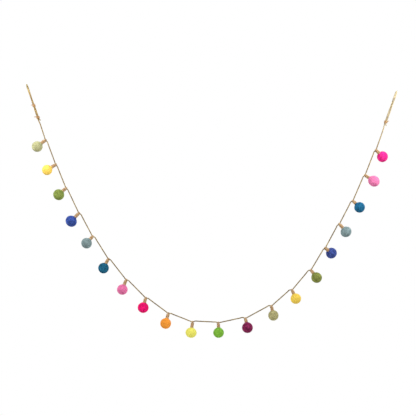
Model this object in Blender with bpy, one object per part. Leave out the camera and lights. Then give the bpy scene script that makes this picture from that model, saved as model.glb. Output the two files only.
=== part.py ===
# Felt lightbulb garland: twenty felted wool balls on short jute-wound necks, hung in a row on one twine.
# Metres, +Z up, +X to the right and +Y away from the viewer.
# The origin is the inside top of the left hanging loop, where a hook would carry it.
import math
from collections import namedtuple

import bmesh
import bpy
import numpy as np
from mathutils import Matrix, Vector

MM = 0.001

# The two hooks, loop to loop
SPAN = 0.8875
RIGHT_END_DROP = 0.0156

# Twine
TWINE_WIDTH = 0.0024
SEAT_GAP = 0.0003
LAST_STRETCH = 0.1485
SHOULDER_REACH = 0.0066
SHOULDER_RUN = 0.0070
LEAD_IN = 0.0080
CURVE_STEP = 0.0006
TURN_PER_POINT = math.radians(34)
RUN_PER_POINT = 0.070

# Hanging loops: open round the hook, shut further down
LOOP_RADIUS = 0.0042
LOOP_SHUT_AT = 0.030
LEG_OFFSET = (TWINE_WIDTH + SEAT_GAP) / 2
TAIL_LENGTH = 0.0045
TAIL_SPREAD = 0.0022
MERGE_LENGTH = 0.012

# Knots, wound tight round both legs of a loop
KNOT_HOLE = (0.0032, 0.0019)
KNOT_WALL = 0.0013
KNOT_TURNS = 3
KNOT_TURN = 0.0023
KNOT_HALF = KNOT_TURNS * KNOT_TURN / 2
KNOT_SIDES = 14

# Necks and balls
NECK_WIDTH = 0.0071
NECK_SIDES = 10
GROOVE_DEPTH = 0.0005
BALL_SEGMENTS = 14
BALL_RINGS = 8

# One row for each bulb, from left to right.
# pitch is the twine from the joint before, right and up are how far its stiffness holds the joint off
# the line in which equal weights would hang, lean turns the bulb from straight down towards the left,
# back swings its ball away from the viewer, and rise is how far the twine humps where it leaves the neck.
Bulb = namedtuple("Bulb", "colour pitch right up lean back neck wide tall rise")
BULBS = [
    Bulb("sage", 139.0, -0.5, -0.5, 53, 4, 11.4, 25.0, 25.4, 0.4),
    Bulb("yellow", 64.0, 1.0, 0.5, 57, -5, 11.2, 24.0, 23.8, 0.0),
    Bulb("olive", 61.5, 1.0, 0.5, 48, 3, 9.7, 26.2, 25.4, 0.0),
    Bulb("royal_blue", 67.5, 2.0, 1.0, 43, -4, 12.7, 27.4, 25.4, 0.4),
    Bulb("grey_teal", 65.0, 2.5, 1.5, 40, -18, 8.7, 25.0, 24.5, 1.2),
    Bulb("teal", 66.0, 3.0, 2.0, 28, 5, 11.4, 25.0, 25.0, 0.0),
    Bulb("pink", 65.5, 3.5, 2.0, 21, -3, 11.7, 25.0, 24.2, 0.0),
    Bulb("hot_pink", 64.0, 3.0, 1.5, 15, 6, 10.7, 25.6, 25.0, 0.0),
    Bulb("orange", 66.0, 1.5, -0.5, 15, -5, 11.0, 25.6, 25.2, 0.8),
    Bulb("lemon", 61.5, 1.5, -1.0, 8, 2, 12.5, 26.0, 24.2, 2.6),
    Bulb("green", 61.5, 2.0, 1.5, -1, -6, 10.2, 25.0, 24.2, 1.2),
    Bulb("plum", 65.5, 2.5, -1.5, -12, -20, 9.2, 25.4, 25.2, 3.0),
    Bulb("sage", 69.0, 3.0, -2.0, -12, 4, 9.9, 24.2, 24.6, 1.6),
    Bulb("yellow", 63.0, 2.5, -2.0, -23, -6, 9.1, 25.0, 24.2, 1.8),
    Bulb("olive", 65.5, 2.5, -1.5, -36, -15, 9.0, 25.0, 25.0, 2.0),
    Bulb("royal_blue", 63.0, -1.0, 1.0, -51, 30, 10.3, 26.0, 24.6, 1.2),
    Bulb("grey_teal", 67.0, -2.5, 2.0, -40, 3, 11.4, 26.0, 24.4, 0.0),
    Bulb("teal", 64.5, -0.5, 0.5, -44, -15, 9.1, 25.0, 24.6, 0.8),
    Bulb("pink", 68.0, 0.0, 0.0, -56, -4, 10.3, 25.2, 27.6, 0.9),
    Bulb("hot_pink", 66.0, 1.5, -0.5, -47, 18, 10.4, 25.6, 25.2, 0.0),
]

# One row for each hanging loop, with distances down the line from the loop's inside top. knots are the
# middles of its knots, and twist turns its pair of legs from straight behind one another, in degrees.
HangingLoop = namedtuple("HangingLoop", "knots twist")
LEFT_LOOP = HangingLoop(
    knots={"knot_left_upper": 0.052, "knot_left_lower": 0.082},
    twist=[(0.0, 12), (0.048, 35), (0.056, 39), (0.078, 60), (0.086, 62)],
)
RIGHT_LOOP = HangingLoop(
    knots={"knot_right": 0.077},
    twist=[(0.0, 5), (0.040, 24), (0.073, 43), (0.081, 45)],
)

COLOURS = {
    "sage": (197, 196, 150),
    "yellow": (248, 224, 98),
    "olive": (134, 148, 70),
    "royal_blue": (57, 77, 149),
    "grey_teal": (128, 150, 154),
    "teal": (36, 98, 132),
    "pink": (234, 126, 178),
    "hot_pink": (240, 34, 126),
    "orange": (236, 150, 60),
    "lemon": (230, 224, 106),
    "green": (118, 174, 60),
    "plum": (118, 38, 74),
    "jute": (172, 141, 104),
    "pale_jute": (196, 170, 128),
}
SHARP_ANGLE = 50
FELT_ROUGHNESS = 0.95
JUTE_ROUGHNESS = 0.85


def clear_scene():
    for item in list(bpy.data.objects):
        bpy.data.objects.remove(item, do_unlink=True)


def linear(channel):
    share = channel / 255
    return share / 12.92 if share <= 0.04045 else ((share + 0.055) / 1.055) ** 2.4


def material(name, roughness):
    if name in bpy.data.materials:
        return bpy.data.materials[name]
    made = bpy.data.materials.new(name)
    made.use_nodes = True
    shader = made.node_tree.nodes["Principled BSDF"]
    shader.inputs["Base Color"].default_value = (*[linear(c) for c in COLOURS[name]], 1)
    shader.inputs["Roughness"].default_value = roughness
    shader.inputs["Metallic"].default_value = 0
    return made


def add_object(name, data, finish):
    made = bpy.data.objects.new(name, data)
    bpy.context.scene.collection.objects.link(made)
    data.materials.append(finish)
    return made


def turned_mesh(name, profile, sides, hole=None):
    """A mesh turned round Z from (radius, height) pairs: flat-ended, or a ring round an oval hole."""
    wide, deep = hole or (0, 0)
    shape = bmesh.new()
    loops = []
    for radius, height in profile:
        corners = []
        for side in range(sides):
            angle = math.tau * side / sides
            place = ((wide + radius) * math.cos(angle), (deep + radius) * math.sin(angle), height)
            corners.append(shape.verts.new(place))
        loops.append(corners)
    if hole:
        loops.append(loops[0])
    else:
        shape.faces.new(loops[0])
        shape.faces.new(loops[-1])
    for lower, upper in zip(loops, loops[1:]):
        for side in range(sides):
            after = (side + 1) % sides
            shape.faces.new((lower[side], lower[after], upper[after], upper[side]))
    bmesh.ops.recalc_face_normals(shape, faces=shape.faces)
    mesh = bpy.data.meshes.new(name)
    shape.to_mesh(mesh)
    shape.free()
    mesh.shade_smooth()
    mesh.set_sharp_from_angle(angle=math.radians(SHARP_ANGLE))
    return mesh


def hang(lengths, pull, lift):
    """Corners of a line from the origin: one sideways pull all along it, and one equal load at each joint."""
    steps = np.stack([np.full(len(lengths), pull), np.arange(len(lengths)) - lift], axis=1)
    steps *= (lengths / np.linalg.norm(steps, axis=1))[:, None]
    return np.vstack([np.zeros(2), np.cumsum(steps, axis=0)])


def settled_line(lengths, end):
    """The hanging line that ends at the given point, found by Newton's method on its pull and lift."""
    small = 1e-6
    forces = np.array([len(lengths) / 6, len(lengths) / 2])
    for _ in range(30):
        miss = hang(lengths, *forces)[-1] - end
        slopes = [(hang(lengths, *(forces + step))[-1] - end - miss) / small for step in small * np.eye(2)]
        forces = forces - np.linalg.solve(np.stack(slopes, axis=1), miss)
    return hang(lengths, *forces)


Place = namedtuple("Place", "bulb crossing top axis along centre")


def bulb_places():
    """For each bulb: where the twine crosses its neck, the neck's top, its axis and the ball's centre."""
    lengths = np.array([bulb.pitch * MM for bulb in BULBS] + [LAST_STRETCH])
    line = settled_line(lengths, np.array([SPAN, -RIGHT_END_DROP]))
    places = []
    for index, bulb in enumerate(BULBS):
        lean, back = math.radians(bulb.lean), math.radians(bulb.back)
        axis = Vector((-math.sin(lean) * math.cos(back), math.sin(back), -math.cos(lean) * math.cos(back)))
        downhill = 1 if bulb.lean > 0 else -1
        along = Vector((math.cos(lean), 0, -math.sin(lean))) * downhill
        x, z = line[index + 1]
        crossing = Vector((x + bulb.right * MM, 0, z + bulb.up * MM))
        top = crossing + axis * (TWINE_WIDTH / 2 + SEAT_GAP)
        centre = top + axis * ((bulb.neck + bulb.tall / 2) * MM + SEAT_GAP)
        places.append(Place(bulb, crossing, top, axis, along, centre))
    return places


def shoulder(place):
    """The point where the twine humps on the downhill side of a neck."""
    up = Vector((-place.axis.x, 0, -place.axis.z)).normalized()
    return place.crossing + place.along * SHOULDER_REACH + up * (place.bulb.rise * MM)


def run_over_necks(places, first, last):
    """The twine's points from one single end to the other: over each neck, and straight in between."""
    points = []
    leaving = first
    for place in places:
        passing = [place.crossing, shoulder(place)]
        if place.along.x < 0:
            passing.reverse()
        way = (passing[0] - leaving).normalized()
        points += [leaving + way * SHOULDER_RUN, passing[0] - way * LEAD_IN, *passing]
        leaving = passing[-1]
    points.append(leaving + (last - leaving).normalized() * SHOULDER_RUN)
    return points


End = namedtuple("End", "loop tip down back across")


def loop_end(loop, tip, crossing):
    """A hanging loop's tip, the way down its line, and the two ways square to it."""
    down = (crossing - tip).normalized()
    back = Vector((0, 1, 0))
    return End(loop, tip, down, back, back.cross(down))


def broad_way(end, distance):
    """The way from one leg of a loop towards the other, at a distance down the line."""
    distances, degrees = zip(*end.loop.twist)
    twist = math.radians(np.interp(distance, distances, degrees))
    return end.back * math.cos(twist) + end.across * math.sin(twist)


def leg_point(end, distance, offset):
    return end.tip + end.down * distance + broad_way(end, distance) * offset


def loop_points(end):
    """The twine from its cut tail up one leg, round the hook, and down the other to the single line."""
    bend = LOOP_RADIUS - TWINE_WIDTH / 2
    leg = [(bend, LOOP_RADIUS), (bend * 3, LOOP_RADIUS * 0.9), (bend * 6, LOOP_RADIUS * 0.65)]
    leg += [(LOOP_SHUT_AT, LEG_OFFSET)]
    leg += [(distance, LEG_OFFSET) for distance, _ in end.loop.twist if distance > LOOP_SHUT_AT]
    foot = leg[-1][0]
    arc = [math.radians(degrees) for degrees in range(-60, 61, 30)]
    points = [leg_point(end, foot + TAIL_LENGTH, -LEG_OFFSET - TAIL_SPREAD)]
    points += [leg_point(end, distance, -offset) for distance, offset in reversed(leg)]
    points += [leg_point(end, bend - LOOP_RADIUS * math.cos(a), LOOP_RADIUS * math.sin(a)) for a in arc]
    points += [leg_point(end, distance, offset) for distance, offset in leg]
    points.append(leg_point(end, foot + MERGE_LENGTH, 0))
    return points


def smooth_curve(points):
    """A finely sampled centripetal Catmull-Rom curve through the points."""
    ends = [points[0] * 2 - points[1], points[-1] * 2 - points[-2]]
    whole = [ends[0], *points, ends[1]]
    fine = []
    for a, b, c, d in zip(whole, whole[1:], whole[2:], whole[3:]):
        knots = [0.0]
        for start, end in ((a, b), (b, c), (c, d)):
            knots.append(knots[-1] + (end - start).length ** 0.5)
        count = max(2, math.ceil((c - b).length / CURVE_STEP))
        for step in range(count):
            t = knots[1] + (knots[2] - knots[1]) * step / count
            pairs = enumerate(((a, b), (b, c), (c, d)))
            near = [blend(p, q, knots[i], knots[i + 1], t) for i, (p, q) in pairs]
            wide = [blend(near[i], near[i + 1], knots[i], knots[i + 2], t) for i in range(2)]
            fine.append(blend(wide[0], wide[1], knots[1], knots[2], t))
    fine.append(points[-1])
    return fine


def blend(p, q, start, end, t):
    return p * ((end - t) / (end - start)) + q * ((t - start) / (end - start))


def thinned(fine):
    """Points of the fine curve, closest together where it bends."""
    kept = [fine[0]]
    share = 0.0
    for before, point, after in zip(fine, fine[1:], fine[2:]):
        share += (after - point).angle(point - before) / TURN_PER_POINT
        share += (point - before).length / RUN_PER_POINT
        if share >= 1:
            kept.append(point)
            share = 0.0
    kept.append(fine[-1])
    return kept


def add_twine(places, left, right):
    """The whole twine as one cord, from the tail of the left loop to the tail of the right one."""
    first = loop_points(left)
    last = loop_points(right)[::-1]
    route = thinned(smooth_curve(first + run_over_necks(places, first[-1], last[0]) + last))
    curve = bpy.data.curves.new("twine", "CURVE")
    curve.dimensions = "3D"
    curve.bevel_depth = TWINE_WIDTH / 2
    curve.bevel_resolution = 2
    curve.use_fill_caps = True
    spline = curve.splines.new("POLY")
    spline.points.add(len(route) - 1)
    for point, place in zip(spline.points, route):
        point.co = (*place, 1)
    add_object("twine", curve, material("jute", JUTE_ROUGHNESS))


def wound_profile(turns, pitch, ridge, top):
    """(radius, height) pairs down a winding from its top: a soft ridge for each turn, grooves between."""
    profile = []
    for turn in range(turns):
        profile += [(ridge - GROOVE_DEPTH, top - turn * pitch), (ridge, top - (turn + 0.5) * pitch)]
    return profile + [(ridge - GROOVE_DEPTH, top - turns * pitch)]


def add_knot(name, end, distance):
    """A knot is a few turns of twine, drawn tight round both legs of a hanging loop."""
    profile = wound_profile(KNOT_TURNS, KNOT_TURN, KNOT_WALL, KNOT_HALF) + [(0, -KNOT_HALF), (0, KNOT_HALF)]
    mesh = turned_mesh(name, profile, KNOT_SIDES, hole=KNOT_HOLE)
    knot = add_object(name, mesh, material("pale_jute", JUTE_ROUGHNESS))
    broad = broad_way(end, distance)
    turn = Matrix((broad, broad.cross(end.down), -end.down)).transposed()
    knot.location = end.tip + end.down * distance
    knot.rotation_euler = turn.to_euler()


def add_neck(name, place):
    """A neck is a tight winding of twine, from under the line down to the ball."""
    length = place.bulb.neck * MM
    turns = round(length / TWINE_WIDTH)
    profile = wound_profile(turns, length / turns, NECK_WIDTH / 2, 0)
    neck = add_object(name, turned_mesh(name, profile, NECK_SIDES), material("jute", JUTE_ROUGHNESS))
    neck.location = place.top
    neck.rotation_euler = (-place.axis).to_track_quat("Z", "Y").to_euler()


def add_ball(name, place):
    """A felted ball, a little wider or taller than round, with its pole under the neck."""
    shape = bmesh.new()
    bmesh.ops.create_uvsphere(shape, u_segments=BALL_SEGMENTS, v_segments=BALL_RINGS, radius=0.5)
    wide, tall = place.bulb.wide * MM, place.bulb.tall * MM
    bmesh.ops.scale(shape, verts=shape.verts, vec=(wide, wide, tall))
    mesh = bpy.data.meshes.new(name)
    shape.to_mesh(mesh)
    shape.free()
    mesh.shade_smooth()
    ball = add_object(name, mesh, material(place.bulb.colour, FELT_ROUGHNESS))
    ball.location = place.centre
    ball.rotation_euler = (-place.axis).to_track_quat("Z", "Y").to_euler()


def build():
    clear_scene()
    places = bulb_places()
    left = loop_end(LEFT_LOOP, Vector((0, 0, 0)), places[0].crossing)
    right = loop_end(RIGHT_LOOP, Vector((SPAN, 0, -RIGHT_END_DROP)), places[-1].crossing)
    add_twine(places, left, right)
    for end in (left, right):
        for name, distance in end.loop.knots.items():
            add_knot(name, end, distance)
    for number, place in enumerate(places, 1):
        add_neck(f"neck_{number:02d}", place)
        add_ball(f"ball_{number:02d}", place)


build()
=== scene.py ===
# Felt lightbulb garland: its twine, knots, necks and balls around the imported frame
import math

import bpy
import numpy as np
from mathutils import Matrix, Vector


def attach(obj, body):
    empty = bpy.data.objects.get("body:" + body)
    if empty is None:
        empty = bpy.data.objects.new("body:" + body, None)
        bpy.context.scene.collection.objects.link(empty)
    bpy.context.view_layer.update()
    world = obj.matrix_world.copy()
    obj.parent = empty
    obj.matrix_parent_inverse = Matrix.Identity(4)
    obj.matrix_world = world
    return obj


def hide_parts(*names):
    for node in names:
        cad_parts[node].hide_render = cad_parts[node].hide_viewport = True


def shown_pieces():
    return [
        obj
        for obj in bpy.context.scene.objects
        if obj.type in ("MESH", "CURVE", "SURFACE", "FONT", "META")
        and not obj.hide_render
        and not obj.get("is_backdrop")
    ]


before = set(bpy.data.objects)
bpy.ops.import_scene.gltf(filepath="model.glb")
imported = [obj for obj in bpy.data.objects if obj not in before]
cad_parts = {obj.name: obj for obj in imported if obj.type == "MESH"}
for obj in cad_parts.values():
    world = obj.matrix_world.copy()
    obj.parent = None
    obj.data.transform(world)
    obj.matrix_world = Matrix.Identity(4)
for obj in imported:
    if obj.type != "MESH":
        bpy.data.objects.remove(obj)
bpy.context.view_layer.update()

tau = math.tau
millimetre = 0.001
print("frame: loaded")


class Value:
    # One output of a node: sums on it add Math nodes
    def __init__(self, maker, socket):
        self.maker = maker
        self.socket = socket

    def maths(self, operation, *others):
        return self.maker.maths(operation, self, *others)

    def __add__(self, other):
        return self.maths("ADD", other)

    def __radd__(self, other):
        return self + other

    def __sub__(self, other):
        return self.maths("SUBTRACT", other)

    def __rsub__(self, other):
        return self.maker.maths("SUBTRACT", other, self)

    def __mul__(self, other):
        return self.maths("MULTIPLY", other)

    def __rmul__(self, other):
        return self * other

    def __truediv__(self, other):
        return self.maths("DIVIDE", other)

    def __rtruediv__(self, other):
        return self.maker.maths("DIVIDE", other, self)


class Made:
    # A new node: its outputs by name or number
    def __init__(self, maker, node):
        self.maker = maker
        self.node = node

    def __getitem__(self, key):
        return Value(self.maker, self.node.outputs[key])


class NodeMaker:
    def __init__(self, tree):
        self.tree = tree

    def add(self, kind, settings=None, sockets=None):
        # A ramp's stops and a capture's rows are settings too; a list in a socket gives it several links
        node = self.tree.nodes.new(kind)
        for name, setting in (settings or {}).items():
            if name == "stops":
                self.setStops(node.color_ramp, setting)
            elif name == "captures":
                for label, form in setting:
                    node.capture_items.new(form, label)
            else:
                setattr(node, name, setting)
        for key, value in (sockets or {}).items():
            if isinstance(value, list):
                for one in value:
                    self.tree.links.new(one.socket, node.inputs[key])
            elif isinstance(value, Value):
                self.tree.links.new(value.socket, node.inputs[key])
            else:
                node.inputs[key].default_value = value
        return Made(self, node)

    def setStops(self, ramp, stops):
        while len(ramp.elements) > len(stops):
            ramp.elements.remove(ramp.elements[-1])
        while len(ramp.elements) < len(stops):
            ramp.elements.new(1.0)
        for element, (place, shade) in zip(ramp.elements, stops):
            element.position = place
            element.color = (*shade, 1)

    def maths(self, operation, *values):
        return self.add("ShaderNodeMath", {"operation": operation}, dict(enumerate(values)))[0]

    def vector(self, operation, *parts, scale=None):
        sockets = dict(enumerate(parts))
        if scale is not None:
            sockets["Scale"] = scale
        made = self.add("ShaderNodeVectorMath", {"operation": operation}, sockets)
        return made["Value" if operation == "DOT_PRODUCT" else "Vector"]

    def point(self, **parts):
        return self.add("ShaderNodeCombineXYZ", None, parts)[0]

    def parts(self, vector):
        return self.add("ShaderNodeSeparateXYZ", None, {"Vector": vector})

    def noise(self, place, scale=1.0, detail=2.0, roughness=0.5, distortion=0.0):
        sockets = {"Vector": place, "Scale": scale, "Detail": detail}
        sockets |= {"Roughness": roughness, "Distortion": distortion}
        return self.add("ShaderNodeTexNoise", None, sockets)

    def mix(self, share, first, second, blend="MIX"):
        settings = {"data_type": "RGBA", "blend_type": blend}
        return self.add("ShaderNodeMix", settings, {0: share, 6: first, 7: second})[2]

    def fit(self, value, low, high, toLow=0.0, toHigh=1.0, smooth=False):
        sockets = {"Value": value, "From Min": low, "From Max": high, "To Min": toLow, "To Max": toHigh}
        settings = {"interpolation_type": "SMOOTHSTEP" if smooth else "LINEAR"}
        return self.add("ShaderNodeMapRange", settings, sockets)[0]

    def attribute(self, name):
        return self.add("ShaderNodeAttribute", {"attribute_name": name})

    def store(self, geometry, name, value, form="FLOAT"):
        settings = {"data_type": form, "domain": "POINT"}
        sockets = {"Geometry": geometry, "Name": name, "Value": value}
        return self.add("GeometryNodeStoreNamedAttribute", settings, sockets)[0]

    def random(self, low, high, seed):
        sockets = {2: low, 3: high, "Seed": seed}
        return self.add("FunctionNodeRandomValue", {"data_type": "FLOAT"}, sockets)[1]


def linear(channel):
    share = channel / 255
    return share / 12.92 if share <= 0.04045 else ((share + 0.055) / 1.055) ** 2.4


def shadeOf(colour, by=1.0):
    # An 8-bit colour as Blender's, made lighter or darker
    return (*[min(1.0, linear(channel) * by) for channel in colour], 1)


def newMaterial(name):
    made = bpy.data.materials.new(name)
    made.use_nodes = True
    made.node_tree.nodes.clear()
    return made, NodeMaker(made.node_tree)


def finishMaterial(make, sockets):
    shader = make.add("ShaderNodeBsdfPrincipled", None, sockets)[0]
    make.add("ShaderNodeOutputMaterial", None, {"Surface": shader})


def newGeometryTree(name, inputs):
    # A tree with named inputs, and the identifier of each
    tree = bpy.data.node_groups.new(name, "GeometryNodeTree")
    sockets = {}
    for kind, labels in {"Geometry": ["Geometry"], **inputs, "Material": ["Material"]}.items():
        for label in labels:
            made = tree.interface.new_socket(name=label, in_out="INPUT", socket_type=f"NodeSocket{kind}")
            sockets[label] = made.identifier
    tree.interface.new_socket(name="Geometry", in_out="OUTPUT", socket_type="NodeSocketGeometry")
    return tree, NodeMaker(tree), sockets


def endTree(make, parts, material):
    joined = make.add("GeometryNodeJoinGeometry", None, {"Geometry": parts})[0]
    smooth = make.add("GeometryNodeSetShadeSmooth", None, {"Geometry": joined})[0]
    real = make.add("GeometryNodeRealizeInstances", None, {"Geometry": smooth})[0]
    dressed = make.add("GeometryNodeSetMaterial", None, {"Geometry": real, "Material": material})[0]
    make.add("NodeGroupOutput", None, {"Geometry": dressed})


def linkedObject(name, data):
    made = bpy.data.objects.new(name, data)
    bpy.context.scene.collection.objects.link(made)
    return made


def madeBy(treeAndSockets, host, name, values, turn=None):
    # Runs a tree on an object and gives its result as a plain mesh at the origin
    tree, sockets = treeAndSockets
    modifier = host.modifiers.new(tree.name, "NODES")
    modifier.node_group = tree
    for label, value in values.items():
        modifier[sockets[label]] = value
    bpy.context.view_layer.update()
    depsgraph = bpy.context.evaluated_depsgraph_get()
    mesh = bpy.data.meshes.new_from_object(host.evaluated_get(depsgraph), depsgraph=depsgraph)
    host.modifiers.remove(modifier)
    bpy.data.objects.remove(host)
    if turn is not None:
        mesh.transform(turn)
    mesh.name = name
    return linkedObject(name, mesh)


def dress(piece, slotName, *nodes):
    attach(piece, "root")
    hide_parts(*nodes)


# Stray fibres, for the twine's hairs and the felt's fuzz alike
strayFibre = {"tipRise": 0.25, "taper": 0.75, "shortest": 0.35, "bends": 2, "sides": 3}


def hairInstance(make, length, radius, form):
    # One fibre: a bent, tapering thread that stands on its root
    middle = make.point(Z=length * form["rise"])
    end = make.point(Y=length * form["bend"], Z=length * (form["rise"] + strayFibre["tipRise"]))
    sockets = {"Resolution": strayFibre["bends"], "Start": (0, 0, 0), "Middle": middle, "End": end}
    line = make.add("GeometryNodeCurveQuadraticBezier", None, sockets)[0]
    sockets = {"Resolution": strayFibre["sides"], "Radius": radius}
    ring = make.add("GeometryNodeCurvePrimitiveCircle", None, sockets)[0]
    taper = 1 - make.add("GeometryNodeSplineParameter")["Factor"] * strayFibre["taper"]
    sockets = {"Curve": line, "Profile Curve": ring, "Scale": taper, "Fill Caps": True}
    thread = make.add("GeometryNodeCurveToMesh", None, sockets)[0]
    return make.store(thread, "hair", 1.0)


def standHairs(make, points, facing, hair, seed, form):
    # Copies of the fibre, each turned and tilted its own way
    spin, tilt = make.random(0.0, tau, seed), make.random(*form["tilt"], seed + 1)
    turn = facing
    for more in ({"Angle": spin}, {"Axis": (1, 0, 0), "Angle": tilt}):
        angle = make.add("FunctionNodeAxisAngleToRotation", None, more)[0]
        turn = make.add("FunctionNodeRotateRotation", {"rotation_space": "LOCAL"}, {0: turn, 1: angle})[0]
    size = make.random(strayFibre["shortest"], 1.0, seed + 2)
    sockets = {"Points": points, "Instance": hair, "Rotation": turn, "Scale": size}
    return make.add("GeometryNodeInstanceOnPoints", None, sockets)[0]


def strewnHairs(make, body, density, hair, seed, form, where=True):
    sockets = {"Mesh": body, "Density": density, "Seed": seed, "Selection": where}
    strewn = make.add("GeometryNodeDistributePointsOnFaces", {"distribute_method": "RANDOM"}, sockets)
    return standHairs(make, strewn["Points"], strewn["Rotation"], hair, seed + 40, form)


# Maps that colours can be baked onto, in shares of each map. Stray fibres share a strip along the top
bakeMap = {
    "twine": {"strip": 0.06, "rowStart": 0.06, "rowHeight": 0.78, "runStart": 0.01, "runLength": 0.96},
    "ball": {"strip": 0.12, "halfSide": 0.47},
    "hair": {"beside": 0.02, "under": 0.1},
    "spreadBy": (913.0, 577.0, 731.0),
    "liftBy": (2913.0, 1577.0, 1731.0),
}


def cornersOf(mesh):
    # Each corner's vertex, each face's first corner, and each corner's face
    vertex = np.empty(len(mesh.loops), int)
    mesh.loops.foreach_get("vertex_index", vertex)
    starts, totals = np.empty(len(mesh.polygons), int), np.empty(len(mesh.polygons), int)
    mesh.polygons.foreach_get("loop_start", starts)
    mesh.polygons.foreach_get("loop_total", totals)
    return vertex, starts, np.repeat(np.arange(len(starts)), totals)


def readAttribute(mesh, name, width=1):
    values = np.zeros(len(mesh.vertices) * width)
    if name in mesh.attributes:
        mesh.attributes[name].data.foreach_get("vector" if width == 3 else "value", values)
    return values.reshape(-1, width) if width > 1 else values


def scattered(places, by, margin):
    # A number for each place, as good as random, that keeps a margin from 0 and 1
    return margin + (1 - 2 * margin) * np.modf(np.abs(places * by).sum(1))[0]


def writeMap(mesh, vertex, uv, isHair, strip):
    places = np.empty(len(mesh.vertices) * 3)
    mesh.vertices.foreach_get("co", places)
    places = places.reshape(-1, 3)
    across = scattered(places, bakeMap["spreadBy"], bakeMap["hair"]["beside"])
    down = scattered(places, bakeMap["liftBy"], bakeMap["hair"]["under"])
    uv[isHair, 0] = across[vertex][isHair]
    uv[isHair, 1] = (1 - strip * down)[vertex][isHair]
    layer = mesh.uv_layers.new(name="OFBake")
    layer.uv.foreach_set("vector", uv.astype(np.float32).ravel())


def mapTwine(mesh, plies, plyRadius):
    # The plies laid out flat, in rows of equal length
    form = bakeMap["twine"]
    vertex, starts, face = cornersOf(mesh)
    onPly, ply = readAttribute(mesh, "onPly", 3)[vertex], readAttribute(mesh, "ply")[vertex]
    isHair = readAttribute(mesh, "hair")[vertex] > 0.5
    whole = onPly[~isHair, 0].max()
    rows = max(1, round(math.sqrt(whole * plies / (tau * plyRadius))))
    rowLength = whole * plies / rows
    run = ply * whole + onPly[:, 0]
    row = np.floor(np.minimum.reduceat(run, starts)[face] / rowLength).clip(0, rows - 1)
    around = np.arctan2(onPly[:, 2], onPly[:, 1]) / tau % 1
    most = np.maximum.reduceat(around, starts)[face]
    around += (most - around > 0.5)
    u = form["runStart"] + form["runLength"] * (run / rowLength - row)
    v = (row + form["rowStart"] + form["rowHeight"] * around) / rows * (1 - form["strip"])
    writeMap(mesh, vertex, np.stack([u, v], 1), isHair, form["strip"])


def mapBall(mesh):
    # Six sides of the cube that the ball was blown up from, three by two
    form = bakeMap["ball"]
    vertex, starts, face = cornersOf(mesh)
    place = readAttribute(mesh, "cubePlace", 3)[vertex]
    isHair = readAttribute(mesh, "hair")[vertex] > 0.5
    count = np.diff(np.append(starts, len(vertex)))
    middle = np.stack([np.add.reduceat(place[:, i], starts) for i in range(3)], 1) / count[:, None]
    axis = np.abs(middle).argmax(1)
    positive = middle[np.arange(len(axis)), axis] > 0
    axis, positive = axis[face], positive[face]
    number = np.arange(len(vertex))
    first, second = place[number, (axis + 1) % 3], place[number, (axis + 2) % 3]
    u = (axis + 0.5 + form["halfSide"] * first) / 3
    v = (positive + 0.5 + form["halfSide"] * second) / 2 * (1 - form["strip"])
    writeMap(mesh, vertex, np.stack([u, v], 1), isHair, form["strip"])


def blend(p, q, start, end, t):
    return p * ((end - t) / (end - start)) + q * ((t - start) / (end - start))


def smoothCurve(points, step):
    # Through every point, without overshooting where they lie unevenly
    whole = [points[0] * 2 - points[1], *points, points[-1] * 2 - points[-2]]
    fine = []
    for corners in zip(whole, whole[1:], whole[2:], whole[3:]):
        times = [0.0]
        for start, end in zip(corners, corners[1:]):
            times.append(times[-1] + max((end - start).length, 1e-7) ** 0.5)
        count = max(2, math.ceil((corners[2] - corners[1]).length / step))
        for number in range(count):
            t = times[1] + (times[2] - times[1]) * number / count
            near = [blend(corners[i], corners[i + 1], times[i], times[i + 1], t) for i in range(3)]
            wide = [blend(near[i], near[i + 1], times[i], times[i + 2], t) for i in range(2)]
            fine.append(blend(wide[0], wide[1], times[1], times[2], t))
    fine.append(points[-1])
    return fine


def lengthOf(points):
    return sum((b - a).length for a, b in zip(points, points[1:]))


def curveObject(name, points, thickness=None):
    data = bpy.data.curves.new(name, "CURVE")
    data.dimensions = "3D"
    spline = data.splines.new("POLY")
    spline.points.add(len(points) - 1)
    spline.points.foreach_set("co", [number for point in points for number in (*point, 1)])
    spline.points.foreach_set("radius", thickness or [1.0] * len(points))
    return linkedObject(name, data)


# The camera stands straight in front, at the garland's middle
camera = {"centre": (0.4349, -0.2950), "seenWidth": 0.9984, "lens": 85.0, "sensor": 36.0}

lens = bpy.data.cameras.new("camera")
lens.lens = camera["lens"]
lens.sensor_width = camera["sensor"]
viewer = linkedObject("camera", lens)
distance = camera["seenWidth"] * camera["lens"] / camera["sensor"]
viewer.location = (camera["centre"][0], -distance, camera["centre"][1])
viewer.rotation_euler = (math.pi / 2, 0, 0)
bpy.context.scene.camera = viewer
print(f"camera: {distance:.3f} m in front")


# Twine, in metres. rises says in millimetres how far the line humps where it leaves each neck, dip how
# far the lashing pulls it down, and laid what the modifier is told
twine = {
    "width": 0.0024,
    "seatGap": 0.0003,
    "dip": 0.0006,
    "rises": [0.4, 0, 0, 0.4, 1.2, 0, 0, 0, 0.8, 2.6, 1.2, 3.0, 1.6, 1.8, 2.0, 1.2, 0, 0.8, 0.9, 0],
    "shoulderReach": 0.0057,
    "shoulderRun": 0.0070,
    "leadIn": 0.0080,
    "curveStep": 0.0006,
    "seed": 3,
    "laid": {
        "Plies": 3,
        "Ply Radius": 0.00068,
        "Ply Spread": 0.00075,
        "Lay Length": 0.0125,
        "Sides": 7,
        "Ring Spacing": 0.00082,
        "Unevenness": 0.7,
        "Hair Density": 222000.0,
        "Hair Length": 0.0018,
        "Hair Radius": 0.000026,
        "Fray Hairs": 14,
    },
    "slubs": {"perMetre": 95, "plyApart": 31, "seedApart": 7.3},
    "hair": {"rise": 0.55, "bend": 0.75, "tilt": (0.3, 1.35)},
    "fray": {"rise": 0.8, "bend": 0.35, "tilt": (0.0, 0.55), "thicker": 2.2, "bunch": 0.6},
}


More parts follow.
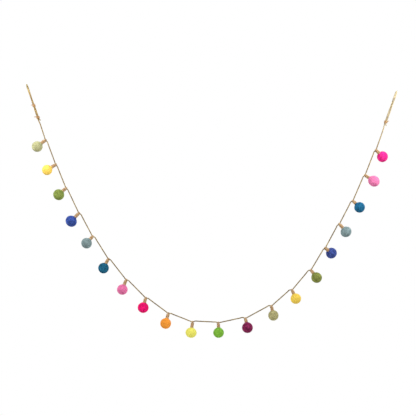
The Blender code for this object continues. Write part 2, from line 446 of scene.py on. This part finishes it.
def laidTwineTree():
    # Plies laid round each other along a curve, uneven and hairy as jute is
    tree, make, sockets = newGeometryTree("laidTwine", {
        "Int": ["Plies", "Sides", "Fray Hairs", "Seed"],
        "Float": ["Ply Radius", "Ply Spread", "Lay Length", "Ring Spacing", "Unevenness",
                  "Hair Density", "Hair Length", "Hair Radius"],
    })
    given = make.add("NodeGroupInput")
    seed = given["Seed"]
    spaced = {"Curve": given["Geometry"], "Length": given["Ring Spacing"]}
    line = make.add("GeometryNodeResampleCurve", {"mode": "LENGTH"}, spaced)[0]
    line = make.add("GeometryNodeSetCurveNormal", {"mode": "MINIMUM_TWIST"}, {"Curve": line})[0]
    copied = {"Geometry": line, "Amount": given["Plies"]}
    copies = make.add("GeometryNodeDuplicateElements", {"domain": "SPLINE"}, copied)
    ply = copies["Duplicate Index"]
    along = make.add("GeometryNodeSplineParameter")["Length"]
    angle = (along / given["Lay Length"] + ply / given["Plies"]) * tau
    normal = make.add("GeometryNodeInputNormal")["Normal"]
    tangent = make.add("GeometryNodeInputTangent")["Tangent"]
    aside = make.vector("CROSS_PRODUCT", tangent, normal)
    first = make.vector("SCALE", normal, scale=angle.maths("COSINE"))
    second = make.vector("SCALE", aside, scale=angle.maths("SINE"))
    # The offset follows the curve's own thickness
    kept = {
        "Along": along,
        "Ply": ply,
        "Outward": make.vector("ADD", first, second),
        "Tangent": tangent,
        "Thickness": make.add("GeometryNodeInputRadius")[0],
    }
    forms = [(label, "VECTOR" if label in ("Outward", "Tangent") else "FLOAT") for label in kept]
    kept["Geometry"] = copies["Geometry"]
    held = make.add("GeometryNodeCaptureAttribute", {"captures": forms}, kept)
    offset = make.vector("SCALE", held["Outward"], scale=given["Ply Spread"] * held["Thickness"])
    laid = make.add("GeometryNodeSetPosition", None, {"Geometry": held["Geometry"], "Offset": offset})[0]
    position = make.add("GeometryNodeInputPosition")[0]
    captures = {"captures": [("Middle", "VECTOR")]}
    centred = make.add("GeometryNodeCaptureAttribute", captures, {"Geometry": laid, "Middle": position})
    # Each ply swells and thins in its own places
    slubs = twine["slubs"]
    apart = held["Ply"] * slubs["plyApart"] + seed * slubs["seedApart"]
    spot = make.point(X=held["Along"] * slubs["perMetre"], Y=apart)
    slub = make.noise(spot, detail=3.0, roughness=0.6)["Fac"] - 0.5
    scale = (1 + slub * given["Unevenness"]) * held["Thickness"]
    sized = {"Resolution": given["Sides"], "Radius": given["Ply Radius"]}
    ring = make.add("GeometryNodeCurvePrimitiveCircle", None, sized)[0]
    tube = {"Curve": centred["Geometry"], "Profile Curve": ring, "Scale": scale, "Fill Caps": True}
    body = make.add("GeometryNodeCurveToMesh", None, tube)[0]
    # Where a point lies on its ply: how far along, and the way it faces from the ply's middle
    position = make.add("GeometryNodeInputPosition")[0]
    way = make.vector("NORMALIZE", make.vector("SUBTRACT", position, centred["Middle"]))
    facingOut = make.vector("DOT_PRODUCT", way, held["Outward"])
    sideways = make.vector("CROSS_PRODUCT", held["Tangent"], held["Outward"])
    facingSide = make.vector("DOT_PRODUCT", way, sideways)
    onPly = make.point(X=held["Along"], Y=facingOut, Z=facingSide)
    body = make.store(body, "onPly", onPly, "FLOAT_VECTOR")
    body = make.store(body, "ply", held["Ply"])
    hair = hairInstance(make, given["Hair Length"], given["Hair Radius"], twine["hair"])
    hairs = strewnHairs(make, body, given["Hair Density"], hair, seed, twine["hair"])
    # The cut end of each ply frays
    ends = {
        "Geometry": centred["Geometry"],
        "End": make.add("GeometryNodeCurveEndpointSelection")[0],
        "Way": tangent,
        "Part": make.add("GeometryNodeSplineParameter")["Factor"],
    }
    captures = {"captures": [("End", "BOOLEAN"), ("Way", "VECTOR"), ("Part", "FLOAT")]}
    endward = make.add("GeometryNodeCaptureAttribute", captures, ends)
    tips = make.add("GeometryNodeCurveToPoints", {"mode": "EVALUATED"}, {"Curve": endward["Geometry"]})
    chosen = {"Geometry": tips["Points"], "Selection": endward["End"]}
    onlyEnds = make.add("GeometryNodeSeparateGeometry", {"domain": "POINT"}, chosen)[0]
    copied = {"Geometry": onlyEnds, "Amount": given["Fray Hairs"]}
    many = make.add("GeometryNodeDuplicateElements", {"domain": "POINT"}, copied)[0]
    reach = given["Ply Radius"] * twine["fray"]["bunch"]
    aside = {axis: make.random(reach * -1, reach, seed + 90 + step) for step, axis in enumerate("XYZ")}
    many = make.add("GeometryNodeSetPosition", None, {"Geometry": many, "Offset": make.point(**aside)})[0]
    leaving = make.vector("SCALE", endward["Way"], scale=make.fit(endward["Part"], 0.0, 1.0, -1.0, 1.0))
    facing = make.add("FunctionNodeAlignRotationToVector", {"axis": "Z"}, {"Vector": leaving})[0]
    thick = given["Hair Radius"] * twine["fray"]["thicker"]
    longer = hairInstance(make, given["Hair Length"], thick, twine["fray"])
    frayed = standHairs(make, many, facing, longer, seed + 80, twine["fray"])
    endTree(make, [body, hairs, frayed], given["Material"])
    return tree, sockets


# Jute: shades in 8-bit colours, the line's by how far across the garland they lie. A look's dark
# multiplies the shade where the noise falls through low, and its pale screens it where it climbs high
jute = {
    "line": [
        (0.000, (163, 152, 105)), (0.004, (174, 150, 100)), (0.014, (145, 116, 73)),
        (0.017, (164, 133, 69)), (0.026, (158, 129, 69)), (0.042, (130, 107, 55)),
        (0.062, (141, 118, 73)), (0.160, (122, 100, 48)), (0.740, (122, 100, 48)),
        (0.840, (143, 118, 66)), (0.872, (184, 167, 129)), (0.8875, (200, 186, 154)),
    ],
    "knots": [(0.0, (186, 144, 102))],
    "necks": [(0.0, (188, 153, 117))],
    "fibreTwist": 420,
    "patch": {"perMetre": 75, "around": 0.4, "low": (0.51, 0.36), "dark": (0.54, 0.48, 0.38),
              "high": (0.51, 0.65), "pale": (0.24, 0.19, 0.08)},
    "streak": {"stretch": (300, 4.2, 4.2), "low": (0.50, 0.34), "dark": (0.52, 0.46, 0.36),
               "high": (0.50, 0.64), "pale": (0.22, 0.18, 0.08)},
    "fine": {"stretch": (700, 11.0, 11.0), "low": (0.52, 0.36), "dark": (0.66, 0.62, 0.54)},
    # Painted shade between the plies: darker where a ply's surface turns in towards the others
    "groove": {"low": (0.05, -0.8), "dark": (0.40, 0.33, 0.24)},
    "stray": {"pale": (0.20, 0.17, 0.10), "share": 0.85},
    "bump": {"strength": 0.8, "height": 0.0003, "between": (0.3, 0.7), "streak": 0.6, "fine": 0.4},
    "roughness": (0.9, 0.75),
    "gloss": 0.2,
}


def juteMaterial(name, stops):
    # Twisted bast fibre: streaks along each ply, painted shade between the plies, paler stray hairs
    made, make = newMaterial(name)
    across = make.parts(make.add("ShaderNodeTexCoord")["Object"])["X"]
    shades = [(x, shadeOf(colour)[:3]) for x, colour in stops]
    base = make.add("ShaderNodeValToRGB", {"stops": shades}, {"Fac": across})[0]
    onPly = make.attribute("onPly")["Vector"]
    parts = make.parts(onPly)
    along, facingOut = parts["X"], parts["Y"]
    # The fibres run nearly along the ply, with the twist of its own
    turning = {"Vector": onPly, "Angle": along * jute["fibreTwist"]}
    twisted = make.add("ShaderNodeVectorRotate", {"rotation_type": "X_AXIS"}, turning)[0]
    stretched = make.vector("MULTIPLY", twisted, jute["streak"]["stretch"])
    streak = make.noise(stretched, detail=3.0, roughness=0.7, distortion=0.3)["Fac"]
    fine = make.noise(make.vector("MULTIPLY", twisted, jute["fine"]["stretch"]), roughness=0.6)["Fac"]
    spot = make.point(X=along * jute["patch"]["perMetre"], Y=facingOut * jute["patch"]["around"])
    patch = make.noise(spot, detail=3.0, roughness=0.65)["Fac"]

    def darker(first, amount, look, smooth=False):
        share = make.fit(amount, *look["low"], smooth=smooth)
        return make.mix(share, first, make.mix(1.0, first, (*look["dark"], 1), "MULTIPLY"))

    def paler(first, look):
        return make.mix(1.0, first, (*look["pale"], 1), "SCREEN")

    def toned(first, amount, look):
        dark = darker(first, amount, look)
        return make.mix(make.fit(amount, *look["high"]), dark, paler(dark, look))

    streaked = toned(toned(base, patch, jute["patch"]), streak, jute["streak"])
    # Painted shade where each ply faces in towards the other plies
    betweenPliesShaded = darker(darker(streaked, fine, jute["fine"]), facingOut, jute["groove"], smooth=True)
    hairy = make.attribute("hair")["Fac"] * jute["stray"]["share"]
    bump = jute["bump"]
    coarse, slight = [make.fit(noise, *bump["between"]) for noise in (streak, fine)]
    height = coarse * bump["streak"] + slight * bump["fine"]
    bumped = {"Strength": bump["strength"], "Distance": bump["height"], "Height": height}
    finishMaterial(make, {
        "Base Color": make.mix(hairy, betweenPliesShaded, paler(base, jute["stray"])),
        "Roughness": make.fit(fine, *bump["between"], *jute["roughness"]),
        "Normal": make.add("ShaderNodeBump", None, bumped)["Normal"],
        "Specular IOR Level": jute["gloss"],
    })
    return made


def nodePoints(name):
    # The frame's own points, each once
    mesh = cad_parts[name].data
    flat = np.empty(len(mesh.vertices) * 3)
    mesh.vertices.foreach_get("co", flat)
    return np.unique(flat.reshape(-1, 3).round(6), axis=0)


def bulbPlaces():
    # For each bulb: its axis down to the ball, the neck's top and length, the ball's middle and size
    places = []
    for number in range(1, len(twine["rises"]) + 1):
        ballPoints, neckPoints = nodePoints(f"ball_{number:02d}"), nodePoints(f"neck_{number:02d}")
        middle, neckMiddle = Vector(ballPoints.mean(0)), Vector(neckPoints.mean(0))
        axis = (middle - neckMiddle).normalized()
        down = (neckPoints - neckPoints.mean(0)) @ np.array(axis)
        height = (ballPoints - ballPoints.mean(0)) @ np.array(axis)
        aside = np.linalg.norm(ballPoints - ballPoints.mean(0) - np.outer(height, axis), axis=1)
        lean = math.atan2(-axis.x, -axis.z)
        downhill = 1 if lean > 0 else -1
        top = neckMiddle + axis * down.min()
        places.append({
            "axis": axis,
            "top": top,
            "length": down.max() - down.min(),
            "crossing": top - axis * (twine["width"] / 2 + twine["seatGap"]),
            "along": Vector((math.cos(lean), 0, -math.sin(lean))) * downhill,
            "middle": middle,
            "wide": aside.max() * 2,
            "tall": height.max() - height.min(),
        })
    return places


def uprightTurn(place, origin):
    # Local Z up the neck and local X along the line, at a place
    up = -place["axis"]
    across = (place["along"] - up * place["along"].dot(up)).normalized()
    turn = Matrix((across, up.cross(across), up)).transposed().to_4x4()
    turn.translation = origin
    return turn


# Hanging loops: open at the top, shut further down. opening gives the open part as shares of the bend
# and the radius, legs the distance down and each leg's offset there, and twist the turn in degrees
hangingLoops = {
    "radius": 0.0042,
    "opening": [(1, 1.0), (3, 0.9), (6, 0.65)],
    "topAngles": range(-60, 61, 30),
    "shutAt": 0.030,
    "legOffset": 0.00135,
    "tailLength": 0.0045,
    "tailSpread": 0.0022,
    "mergeLength": 0.012,
    "left": {
        "tip": (0, 0, 0),
        "knots": [("knotLeftUpper", "knot_left_upper", 0.052, 0.0022),
                  ("knotLeftLower", "knot_left_lower", 0.082, 0.0040)],
        "side": 1,
        "legs": [(0.048, 0.00135), (0.056, 0.00135), (0.067, 0.00160), (0.078, 0.00135), (0.086, 0.00135)],
        "twist": [(0.0, 18), (0.048, 50), (0.056, 56), (0.078, 74), (0.086, 76)],
    },
    "right": {
        "tip": (0.8875, 0, -0.0156),
        "knots": [("knotRight", "knot_right", 0.077, 0.0026)],
        "side": -1,
        "legs": [(0.040, 0.00145), (0.056, 0.00155), (0.073, 0.00135), (0.081, 0.00135)],
        "twist": [(0.0, 5), (0.012, 14), (0.030, 50), (0.045, 62), (0.073, 72), (0.081, 74)],
    },
}


def loopEnd(loop, crossing):
    tip = Vector(loop["tip"])
    down = (crossing - tip).normalized()
    back = Vector((0, 1, 0))
    return {"loop": loop, "tip": tip, "down": down, "back": back, "across": back.cross(down)}


def broadWay(end, distance):
    # From one leg towards the other, this far down from the tip
    distances, degrees = zip(*end["loop"]["twist"])
    twist = math.radians(np.interp(distance, distances, degrees))
    return end["back"] * math.cos(twist) + end["across"] * math.sin(twist)


def legPoint(end, distance, offset):
    return end["tip"] + end["down"] * distance + broadWay(end, distance) * offset


def loopPoints(end):
    # From the cut tail up one leg, over the top and down the other
    radius, gap = hangingLoops["radius"], hangingLoops["legOffset"]
    bend = radius - twine["width"] / 2
    leg = [(bend * run, radius * share) for run, share in hangingLoops["opening"]]
    leg += [(hangingLoops["shutAt"], gap), *end["loop"]["legs"]]
    foot = leg[-1][0]
    points = [legPoint(end, foot + hangingLoops["tailLength"], -gap - hangingLoops["tailSpread"])]
    points += [legPoint(end, distance, -offset) for distance, offset in reversed(leg)]
    for degrees in hangingLoops["topAngles"]:
        angle = math.radians(degrees)
        points.append(legPoint(end, bend - radius * math.cos(angle), radius * math.sin(angle)))
    points += [legPoint(end, distance, offset) for distance, offset in leg]
    points.append(legPoint(end, foot + hangingLoops["mergeLength"], 0))
    return points


def runOverNecks(places, first, last):
    # Over each neck and down its shoulder, nearly straight between the bulbs
    points = []
    leaving = first
    for place, rise in zip(places, twine["rises"]):
        up = Vector((-place["axis"].x, 0, -place["axis"].z)).normalized()
        crossing = place["crossing"] + place["axis"] * twine["dip"]
        shoulder = place["crossing"] + place["along"] * twine["shoulderReach"] + up * (rise * millimetre)
        passing = [crossing, shoulder] if place["along"].x > 0 else [shoulder, crossing]
        way = (passing[0] - leaving).normalized()
        points += [leaving + way * twine["shoulderRun"], passing[0] - way * twine["leadIn"], *passing]
        leaving = passing[-1]
    points.append(leaving + (last - leaving).normalized() * twine["shoulderRun"])
    return points


laidTwine = laidTwineTree()


def twinePiece(name, path, thickness, changes, slotName, node, turn=None):
    # One length of twine along a path, where changes are what it has of its own
    values = twine["laid"] | changes
    piece = madeBy(laidTwine, curveObject(name + "Route", path, thickness), name, values, turn)
    mapTwine(piece.data, values["Plies"], values["Ply Radius"])
    dress(piece, slotName, node)
    return piece


places = bulbPlaces()
left = loopEnd(hangingLoops["left"], places[0]["crossing"])
right = loopEnd(hangingLoops["right"], places[-1]["crossing"])
firstPoints, lastPoints = loopPoints(left), loopPoints(right)[::-1]
between = runOverNecks(places, firstPoints[-1], lastPoints[0])
route = smoothCurve(firstPoints + between + lastPoints, twine["curveStep"])
lineLength = lengthOf(route)
changes = {"Seed": twine["seed"], "Material": juteMaterial("jute line", jute["line"])}
line = twinePiece("twineLine", route, None, changes, "jute", "twine")
print(f"line: {lineLength:.3f} m, {len(line.data.polygons)} faces")


# Knots, each wound round both legs. Its tails go outward, down and back by these parts
knot = {
    "acrossRadius": 0.0035,
    "deepRadius": 0.0022,
    "turns": 2.75,
    "pitch": 0.0019,
    "pointsPerTurn": 24,
    "pathStep": 0.0005,
    "scale": 0.74,
    "firstTail": (1.0, -0.35, -0.3),
    "lastTail": (0.5, 0.8, -0.5),
    "lastTailShare": 0.8,
    "seedFrom": 20,
    "laid": {"Unevenness": 0.3, "Ring Spacing": 0.0005},
}


def knotPath(end, distance, tail):
    # Turns round both legs, with a short tail at each end
    side = end["loop"]["side"]
    broad = broadWay(end, distance) * side
    deep = broad.cross(end["down"])
    half = knot["turns"] * knot["pitch"] / 2
    count = round(knot["turns"] * knot["pointsPerTurn"])
    points = []
    for number in range(count + 1):
        angle = tau * knot["turns"] * number / count
        level = distance - half + knot["pitch"] * knot["turns"] * number / count
        points.append(end["tip"] + end["down"] * level + broad * (math.cos(angle) * knot["acrossRadius"])
                      + deep * (math.sin(angle) * knot["deepRadius"]))

    def tailWay(outward, down, back):
        return (end["across"] * side * outward + end["down"] * down + end["back"] * back).normalized()

    firstTail = points[0] + tailWay(*knot["firstTail"]) * tail
    lastTail = points[-1] + tailWay(*knot["lastTail"]) * tail * knot["lastTailShare"]
    return smoothCurve([firstTail, *points, lastTail], knot["pathStep"])


knotMaterial = juteMaterial("jute knot", jute["knots"])
knotPieces = []
for end in (left, right):
    for name, node, distance, tail in end["loop"]["knots"]:
        path = knotPath(end, distance, tail)
        changes = knot["laid"] | {"Seed": knot["seedFrom"] + len(knotPieces), "Material": knotMaterial}
        knotPieces.append(twinePiece(name, path, [knot["scale"]] * len(path), changes, "pale_jute", node))
print(f"knots: {len(knotPieces)}")

route[::3] + [route[-1]]


# Necks, each wound from the ball up, with its last two turns over the line. The ends of the coil lie
# flat for a part of a turn. lash gives the way over the line, as places across, deep and up
neck = {
    "coilRadius": 0.00306,
    "pitch": 0.00205,
    "edge": 0.0012,
    "topRoom": 0.0003,
    "coreTop": 0.0042,
    "flatStart": 0.55,
    "flatEnd": 0.45,
    "partTurn": 0.25,
    "endsPastBack": 0.35,
    "pointsPerTurn": 16,
    "pathStep": 0.0005,
    "lash": {
        "side": 0.00098,
        "over": [(0.0024, 0.0002), (0.0018, 0.0024), (0, 0.0031), (-0.0018, 0.0024), (-0.0024, 0.0002)],
        "between": [(-0.000392, -0.0014, -0.0016), (0, 0, -0.0022), (0.000392, 0.0014, -0.0016)],
        "last": [(0.00049, -0.0016, -0.0018), (0, -0.0004, -0.0032)],
        "scale": 0.80,
        "thinsOver": 0.003,
    },
    "seedFrom": 40,
    "laid": {
        "Ply Radius": 0.00060,
        "Ply Spread": 0.00062,
        "Lay Length": 0.0088,
        "Ring Spacing": 0.00064,
        "Unevenness": 0.25,
        "Hair Density": 150000.0,
        "Fray Hairs": 0,
    },
}


def within(share):
    return min(1.0, max(0.0, share))


def neckPath(length):
    # In the neck's own frame: down the middle, up the coil from the ball, then twice over the line
    radius, flat = neck["coilRadius"], neck["flatStart"] + neck["flatEnd"]
    low, high = -length + neck["edge"] - neck["topRoom"], -neck["edge"] - neck["topRoom"]
    wholeTurns = math.floor(neck["flatStart"] + (high - low) / neck["pitch"] + neck["flatEnd"])
    turns = wholeTurns + neck["partTurn"]
    core = -neck["coreTop"]
    points = [Vector((0, 0, height)) for height in (core, (low + core) / 2, low)]
    count = math.ceil(turns * neck["pointsPerTurn"])
    for number in range(count + 1):
        turn = turns * number / count
        height = low + (high - low) * within((turn - neck["flatStart"]) / (turns - flat))
        angle = tau * (turn - turns) + math.pi / 2 + neck["endsPastBack"]
        points.append(Vector((radius * math.cos(angle), radius * math.sin(angle), height)))
    coilLength = lengthOf(points)
    lash = neck["lash"]
    firstOver = [(-lash["side"], *place) for place in lash["over"]]
    secondOver = [(lash["side"], *place) for place in lash["over"]]
    points += [Vector(place) for place in (*firstOver, *lash["between"], *secondOver, *lash["last"])]
    fine = smoothCurve(points, neck["pathStep"])
    # Thinner where the twine is drawn tight over the line
    run, thickness = 0.0, [1.0]
    for a, b in zip(fine, fine[1:]):
        run += (b - a).length
        thickness.append(1 - (1 - lash["scale"]) * within((run - coilLength) / lash["thinsOver"]))
    return fine, thickness


neckMaterial = juteMaterial("jute neck", jute["necks"])
for number, place in enumerate(places, 1):
    path, thickness = neckPath(place["length"])
    changes = neck["laid"] | {"Seed": neck["seedFrom"] + number, "Material": neckMaterial}
    turn = uprightTurn(place, place["top"])
    name, node = f"neckWinding_{number:02d}", f"neck_{number:02d}"
    piece = twinePiece(name, path, thickness, changes, "jute", node, turn)
print(f"necks: {len(places)}, {len(piece.data.polygons)} faces each")


# Felted balls: shades from the first bulb to the last, in 8-bit colours, of which evenShades marl less.
# felted is what the modifier is told, and raised how much each unevenness counts in the height that the
# painted shade in the hollows follows
ball = {
    # Each shade is partly its wool's own colour and partly painted light and shade, so balls of one wool
    # differ
    "shades": [
        ("sage", 166, 165, 122), ("yellow", 233, 196, 90), ("olive", 122, 137, 67),
        ("royal_blue", 54, 75, 144), ("grey_teal", 115, 133, 134), ("teal", 29, 87, 114),
        ("pink", 209, 107, 152), ("hot_pink", 241, 20, 101), ("orange", 216, 137, 52),
        ("lemon", 203, 198, 91), ("green", 109, 160, 54), ("plum", 116, 34, 72),
        ("sage", 153, 148, 104), ("yellow", 210, 180, 75), ("olive", 116, 123, 61),
        ("royal_blue", 57, 72, 133), ("grey_teal", 116, 135, 137), ("teal", 32, 95, 130),
        ("pink", 212, 114, 158), ("hot_pink", 237, 43, 130),
    ],
    "evenShades": {"lemon": 0.42, "yellow": 0.70, "orange": 0.75, "green": 0.92},
    "swell": 1.018,
    "fill": 1.0,
    "felted": {
        "Grid": 33,
        "Bulge": 0.050,
        "Lump": 0.026,
        "Lump Scale": 2.6,
        "Fold": 0.008,
        "Grain": 0.006,
        "Seat Radius": 0.0028,
        "Seat Slope": 0.0030,
        "Seat Lift": 0.00045,
        "Fuzz Density": 330000.0,
        "Fuzz Length": 0.0019,
        "Fuzz Radius": 0.000022,
    },
    "seedApart": {"X": 3.7, "Y": 1.9, "Z": 5.3},
    "bulgeScale": 0.75,
    "foldScale": 2.1,
    "foldWidth": 0.045,
    "grainScale": 9.0,
    "seatDepth": 0.002,
    "raised": {"lump": 1.3, "grain": 0.6, "fold": 0.25, "most": 0.35},
    "clearOfSeat": 0.6,
    "fuzz": {"rise": 0.18, "bend": 0.9, "tilt": (-0.25, 0.55)},
}


def feltBallTree():
    # A cube blown up to a ball, lumpy and creased as rolled felt is, with fuzz
    tree, make, sockets = newGeometryTree("feltBall", {
        "Int": ["Grid", "Seed"],
        "Vector": ["Size"],
        "Float": ["Bulge", "Lump", "Lump Scale", "Fold", "Grain", "Seat Radius", "Seat Slope", "Seat Lift",
                  "Fuzz Density", "Fuzz Length", "Fuzz Radius"],
    })
    given = make.add("NodeGroupInput")
    seed = given["Seed"]
    corners = {f"Vertices {axis}": given["Grid"] for axis in "XYZ"}
    cube = make.add("GeometryNodeMeshCube", None, {"Size": (2, 2, 2), **corners})[0]
    place = make.add("GeometryNodeInputPosition")[0]
    marked = make.store(cube, "cubePlace", place, "FLOAT_VECTOR")
    even = make.vector("TANGENT", make.vector("SCALE", place, scale=math.pi / 4))
    outward = {"Geometry": marked, "Way": make.vector("NORMALIZE", even)}
    held = make.add("GeometryNodeCaptureAttribute", {"captures": [("Way", "VECTOR")]}, outward)
    way = held["Way"]
    apart = {axis: seed * step for axis, step in ball["seedApart"].items()}
    spot = make.vector("ADD", way, make.point(**apart))
    bulge = make.noise(spot, ball["bulgeScale"], detail=0.0)["Fac"] - 0.5
    lump = make.noise(spot, given["Lump Scale"], detail=1.0, roughness=0.4, distortion=0.4)["Fac"] - 0.5
    crease = make.noise(spot, ball["foldScale"], detail=1.0, roughness=0.4, distortion=0.9)["Fac"] - 0.5
    fold = 1 - make.fit(crease.maths("ABSOLUTE"), 0.0, ball["foldWidth"], smooth=True)
    grain = make.noise(spot, ball["grainScale"], roughness=0.6, distortion=0.3)["Fac"] - 0.5
    height = bulge * given["Bulge"] + lump * given["Lump"] + grain * given["Grain"] - fold * given["Fold"]
    half = make.vector("SCALE", given["Size"], scale=0.5)
    lumpy = make.vector("SCALE", make.vector("MULTIPLY", way, half), scale=1 + height)
    # The felt stands up a little round the foot of the neck
    parts = make.parts(lumpy)
    reach = (parts["X"] * parts["X"] + parts["Y"] * parts["Y"]).maths("SQRT")
    top = make.parts(half)["Z"] + given["Seat Lift"]
    seatEnd = given["Seat Radius"] + given["Seat Slope"]
    onSeat = 1 - make.fit(reach, given["Seat Radius"], seatEnd, smooth=True)
    onSeat = onSeat * make.fit(parts["Z"], 0.0, ball["seatDepth"])
    lifted = parts["Z"] + (top - parts["Z"]) * onSeat
    shaped = {"Geometry": held["Geometry"], "Position": make.point(X=parts["X"], Y=parts["Y"], Z=lifted)}
    body = make.add("GeometryNodeSetPosition", None, shaped)[0]
    # How high the felt stands, stored for the painted shade in its hollows
    share = ball["raised"]
    raised = lump * share["lump"] + grain * share["grain"] - fold * share["fold"]
    body = make.store(body, "raised", make.fit(raised, -share["most"], share["most"]))
    fibre = hairInstance(make, given["Fuzz Length"], given["Fuzz Radius"], ball["fuzz"])
    clear = (1 - onSeat).maths("GREATER_THAN", ball["clearOfSeat"])
    fuzz = strewnHairs(make, body, given["Fuzz Density"], fibre, seed, ball["fuzz"], clear)
    endTree(make, [body, fuzz], given["Material"])
    return tree, sockets


# The wool's look. tones are shares of the ball's shade, and shares say how much of each shows
wool = {
    "marl": 0.68,
    "mostMarl": 2.4,
    "darkest": 0.12,
    "tones": {"shadow": 0.68, "light": 1.20, "hollow": 0.52, "pale": 1.45, "dark": 0.50, "fuzz": 1.35},
    "shares": {"hollow": 0.45, "pale": 0.42, "dark": 0.38, "fuzz": 0.7},
    "cloud": {"scale": 170.0, "from": 0.36, "to": 0.64},
    "warp": {"scale": 380.0, "by": 0.0030},
    "fibre": {
        "stretch": (5600, 5600, 420),
        "turns": [(0.0, 0.0, 0.0), (1.1, 0.4, 0.9), (0.3, 1.2, 2.2), (2.0, 0.7, 0.2), (0.9, 2.1, 1.4)],
        "from": 0.52,
        "to": 0.68,
    },
    "bump": {"strength": 0.6, "height": 0.0003, "pale": 0.6, "cloud": 0.5, "dark": 0.3},
    "roughness": (0.98, 0.9),
    "sheen": {"weight": 0.35, "roughness": 0.45, "tint": 1.2},
    "gloss": 0.05,
}


def feltMaterial(name, colour, evenness):
    # Rolled wool: marled colour, fibres crossing in every direction, painted shade in the soft hollows
    made, make = newMaterial(name)
    # The same fibres show more on a dark ball
    lightness = (0.3 * colour[0] + 0.59 * colour[1] + 0.11 * colour[2]) / 255
    marl = min(wool["mostMarl"], wool["marl"] / lightness) * evenness

    def tone(part):
        return shadeOf(colour, max(wool["darkest"], 1 + (wool["tones"][part] - 1) * marl))

    def over(first, amount, part):
        return make.mix(amount * wool["shares"][part], first, tone(part))

    place = make.add("ShaderNodeTexCoord")["Object"]
    cloud = make.noise(place, wool["cloud"]["scale"], detail=3.0, roughness=0.6, distortion=0.3)["Fac"]
    shift = make.vector("SUBTRACT", make.noise(place, wool["warp"]["scale"])["Color"], (0.5, 0.5, 0.5))
    bent = make.vector("ADD", place, make.vector("SCALE", shift, scale=wool["warp"]["by"]))
    fibre = wool["fibre"]
    shown = []
    for turn in fibre["turns"]:
        turning = {"Vector": bent, "Rotation": turn}
        turned = make.add("ShaderNodeVectorRotate", {"rotation_type": "EULER_XYZ"}, turning)[0]
        threads = make.noise(make.vector("MULTIPLY", turned, fibre["stretch"]), detail=1.0)["Fac"]
        shown.append(make.fit(threads, fibre["from"], fibre["to"], smooth=True))
    pale = shown[0].maths("MAXIMUM", shown[1]).maths("MAXIMUM", shown[2])
    dark = shown[3].maths("MAXIMUM", shown[4])
    clouded = make.fit(cloud, wool["cloud"]["from"], wool["cloud"]["to"])
    marled = make.mix(clouded, tone("shadow"), tone("light"))
    # Painted shade: darker where the felt lies low
    shadedHollows = over(marled, 1 - make.attribute("raised")["Fac"], "hollow")
    fibred = over(over(shadedHollows, pale, "pale"), dark, "dark")
    bump, sheen = wool["bump"], wool["sheen"]
    height = pale * bump["pale"] + cloud * bump["cloud"] - dark * bump["dark"]
    bumped = {"Strength": bump["strength"], "Distance": bump["height"], "Height": height}
    finishMaterial(make, {
        "Base Color": over(fibred, make.attribute("hair")["Fac"], "fuzz"),
        "Roughness": make.fit(pale, 0.0, 1.0, *wool["roughness"]),
        "Normal": make.add("ShaderNodeBump", None, bumped)["Normal"],
        "Sheen Weight": sheen["weight"],
        "Sheen Roughness": sheen["roughness"],
        "Sheen Tint": shadeOf(colour, sheen["tint"]),
        "Specular IOR Level": wool["gloss"],
    })
    return made


feltBall = feltBallTree()
for number, (place, (shade, *colour)) in enumerate(zip(places, ball["shades"]), 1):
    evenness = ball["evenShades"].get(shade, 1.0)
    values = ball["felted"] | {
        "Size": [side * ball["swell"] for side in (place["wide"], place["wide"], place["tall"])],
        "Seed": number,
        "Material": feltMaterial(f"felt {shade} {number}", colour, evenness),
    }
    host = linkedObject("ballHost", bpy.data.meshes.new("ballHost"))
    turn = uprightTurn(place, place["middle"])
    piece = madeBy(feltBall, host, f"feltBall_{number:02d}", values, turn)
    mapBall(piece.data)
    dress(piece, f"felt_{shade}", f"ball_{number:02d}")
print(f"balls: {len(places)}, {len(piece.data.polygons)} faces each")


# A pale floor well below
floor = {"height": -1.10, "radius": 1.05, "corners": 96, "shade": (0.86, 0.86, 0.85), "roughness": 0.8}


def floorDisc():
    mesh = bpy.data.meshes.new("floor")
    angles = [tau * number / floor["corners"] for number in range(floor["corners"])]
    radius, middle = floor["radius"], camera["centre"][0]
    corners = [(middle + radius * math.cos(a), radius * math.sin(a), floor["height"]) for a in angles]
    mesh.from_pydata(corners, [], [list(range(floor["corners"]))])
    plain, make = newMaterial("pale floor")
    finishMaterial(make, {"Base Color": (*floor["shade"], 1), "Roughness": floor["roughness"]})
    mesh.materials.append(plain)
    linkedObject("floor", mesh)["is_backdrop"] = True


# Soft boxes stand left, right, low in front and two behind, each with its place, size and watts.
# The camera sees the room as plain white, and the garland is lit by less of it
light = {
    "room": 0.57,
    "boxes": [
        ((-0.37, -0.48, 0.26), 0.35, 10.5),
        ((1.29, -0.38, 0.20), 0.35, 11.0),
        ((0.44, -0.85, -0.92), 0.5, 3.2),
        ((-0.32, 0.70, -0.10), 0.6, 4.0),
        ((1.20, 0.70, -0.10), 0.6, 4.0),
    ],
}


def softBox(name, place, size, watts):
    data = bpy.data.lights.new(name, "AREA")
    data.shape = "SQUARE"
    data.size = size
    data.energy = watts
    made = linkedObject(name, data)
    made.location = place
    aim = Vector((camera["centre"][0], 0, camera["centre"][1])) - Vector(place)
    made.rotation_euler = aim.to_track_quat("-Z", "Y").to_euler()
    made.visible_camera = False


def whiteRoom():
    room = bpy.data.worlds.new("room")
    bpy.context.scene.world = room
    room.use_nodes = True
    room.node_tree.nodes.clear()
    make = NodeMaker(room.node_tree)
    seen = make.add("ShaderNodeLightPath")["Is Camera Ray"]
    strength = make.fit(seen, 0.0, 1.0, light["room"], 1.0)
    glow = make.add("ShaderNodeBackground", None, {"Color": (1, 1, 1, 1), "Strength": strength})[0]
    make.add("ShaderNodeOutputWorld", None, {"Surface": glow})


floorDisc()
for number, box in enumerate(light["boxes"], 1):
    softBox(f"softBox{number}", *box)
whiteRoom()
bpy.context.scene.view_settings.view_transform = "Standard"

triangles = sum(len(p.vertices) - 2 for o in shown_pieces() if o.type == "MESH" for p in o.data.polygons)
print(f"room: ready, {triangles} triangles in all")
